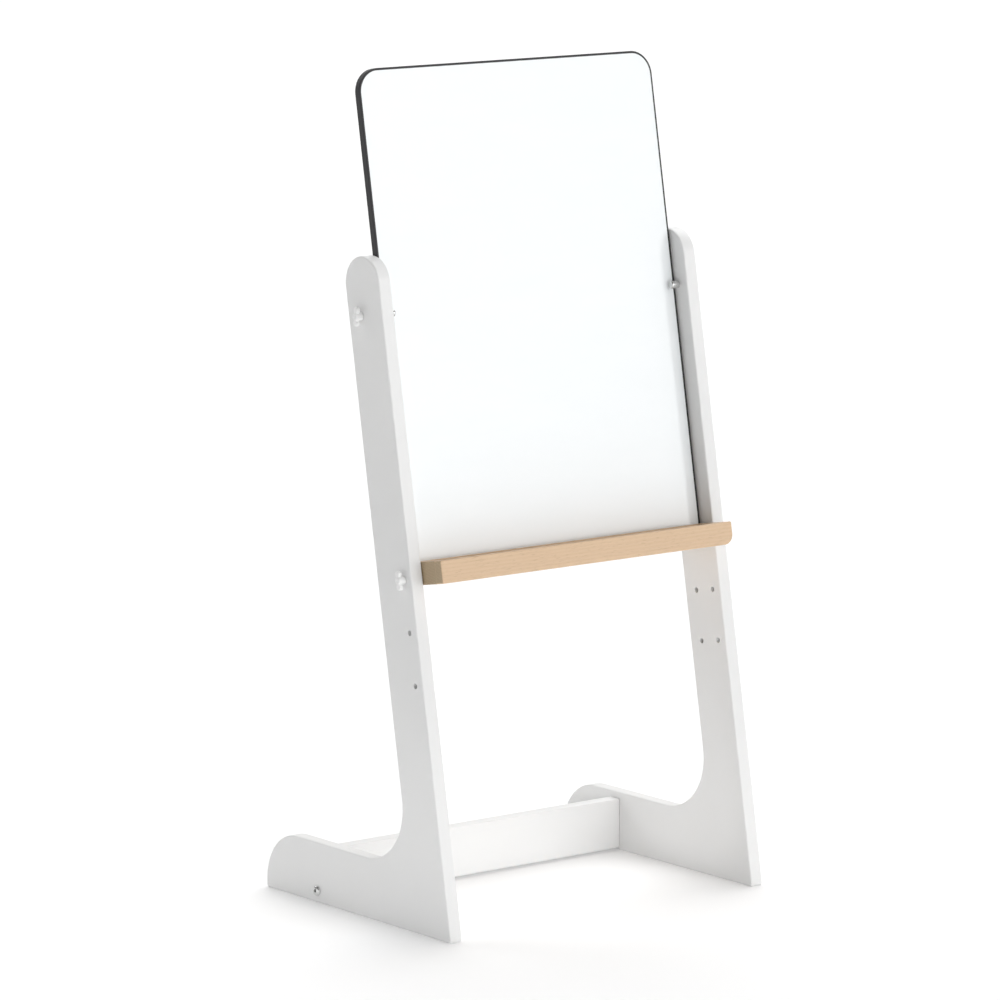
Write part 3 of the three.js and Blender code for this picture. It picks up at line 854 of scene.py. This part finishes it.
def knob_mesh(plastic):
    """A moulded wing knob, made as hub and wings, melted together, and bored for its stud.

    It points along +Z from its foot at the origin, and its wings lie along X."""
    lobe, reach, opening, waist = 3.8 * MM, 8 * MM, 130, 1.2 * MM
    height, wing = 9.5 * MM, 5.5 * MM

    def side(sign, inset):
        """Points of the waist between two lobes, on a curve that moves in with the inset."""
        a = math.radians(opening)
        start = Vector((sign * (reach + (lobe - inset) * math.cos(a)), sign * (lobe - inset) * math.sin(a)))
        end = Vector((-start.x, start.y))
        middle = Vector((0, sign * (waist - 0.6 * inset)))
        points = []
        for i in range(1, 12):
            t = i / 12
            points.append(tuple(start * (1 - t) ** 2 + middle * (2 * t * (1 - t)) + end * t ** 2))
        return points

    def ring(inset):
        return (arc(reach, 0, lobe - inset, -opening, opening, 28) + side(1, inset)
                + arc(-reach, 0, lobe - inset, 180 - opening, 180 + opening, 28) + side(-1, inset))

    def place(x, y, depth):
        return Vector((x, y, height - wing + depth))
    knob = slab("knob", ring, wing, 1.5 * MM, place, None, steps=6)
    knob.modifiers.clear()

    def stand(a, b, h):
        return Vector((a, b, h))
    hub = [(4.9 * MM, 0), (5.2 * MM, 0.3 * MM), (5.2 * MM, 0.9 * MM), (4.9 * MM, 1.5 * MM),
           (4.75 * MM, 8.6 * MM), (4.3 * MM, 9.6 * MM), (3.6 * MM, 10.05 * MM), (2.6 * MM, 10.1 * MM),
           (2.3 * MM, 9.7 * MM), (0.5 * MM, 9.6 * MM)]
    barrel = turned("hub", hub, stand, None, 64)
    barrel.modifiers.clear()
    carve(knob, [barrel], "UNION")
    melt = knob.modifiers.new("melt", "REMESH")
    melt.mode = "VOXEL"
    melt.voxel_size = 0.28 * MM
    ease = knob.modifiers.new("ease", "SMOOTH")
    ease.factor = 0.5
    ease.iterations = 5
    bpy.context.view_layer.update()
    settle(knob)
    bore = turned("bore", [(STUD_HOLE, -2 * MM), (STUD_HOLE, 6.9 * MM)], stand, None, 40)
    bore.modifiers.clear()
    carve(knob, [bore])
    knob.data.materials.clear()
    knob.data.materials.append(plastic)
    mesh = knob.data
    bpy.data.objects.remove(knob)
    return mesh


def knob(part, side, mesh, sign, axis, turn):
    """Sets a copy of the knob on a side panel, with its wings turned from the leaning edge."""
    obj = bpy.data.objects.new(f"wing_knob_{part}_{side}", mesh.copy())
    bpy.context.scene.collection.objects.link(obj)
    base = lean(sign * (OUTER_FACE + GAP), *axis)
    out = Vector((sign, 0, 0))
    up = Vector((0, math.sin(LEAN), math.cos(LEAN)))
    wings = Matrix.Rotation(turn, 3, out) @ up
    frame_axes = Matrix((wings, out.cross(wings), out)).transposed()
    obj.data.transform(Matrix.Translation(base) @ frame_axes.to_4x4())
    smooth(obj, KNOB_SHARP_CORNER)
    place_piece(obj, f"{side}_{part}_knob", f"{part}_knob_{side}")


# ------------------------------------------------------------------ everything together

def dress(node, material):
    """Gives a CAD node that stays in view its material and soft shading."""
    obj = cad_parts[node]
    obj.data.materials.clear()
    obj.data.materials.append(material)
    obj.data.shade_smooth()
    obj.data.set_sharp_from_angle(angle=math.radians(CAD_SHARP_CORNER))


def build():
    """Makes the materials, then every piece of the easel."""
    paint, enamel, chalk = white_paint(), white_enamel(), chalk_black()
    black, plastic = black_edge(), white_plastic()
    nickel = metal("nickel", (0.72, 0.72, 0.715), 0.22, (1.0, 0.2, 0.2))
    zinc = metal("zinc", (0.58, 0.59, 0.60), 0.38, (0.2, 1.0, 1.0))
    brass = metal("brass", (0.74, 0.55, 0.25), 0.3, (0.2, 1.0, 1.0))
    lip_wood = beech("beech_lip")
    body_wood = beech("beech_body", (0.0, 0.05, -0.24), 0.37)
    rail_wood = beech("beech_rail", (0.0, -0.03, 0.10), 0.81)

    stretcher(paint)
    edge_band(black)
    face_sheets(enamel, chalk)
    rear_rail(rail_wood)
    tray_lip(lip_wood)
    tray_body(body_wood)
    dress("board_core", dark_fibre())
    for number in (1, 2, 3):
        dress(f"lip_dowel_{number}", body_wood)
    moulding = knob_mesh(plastic)
    for side, sign in SIDES:
        side_panel(side, sign, paint)
        stretcher_bolt(side, sign, nickel)
        barrel_nut(side, sign, zinc)
        board_stop(side, sign, nickel)
        knob("rail", side, moulding, sign, RAIL_AXIS, sign * RAIL_KNOB_TURN)
        knob("tray", side, moulding, sign, TRAY_BOLT, TRAY_KNOB_TURN)
        dress("stretcher_dowel_" + side, body_wood)
        dress("tray_pin_" + side, zinc)
        for place in ("rail", "tray"):
            dress(f"{place}_insert_{side}", brass)
            dress(f"{place}_stud_{side}", zinc)


add_camera()
add_world()
add_lamps()
add_floor()
bpy.context.scene.view_settings.view_transform = "Standard"
build()
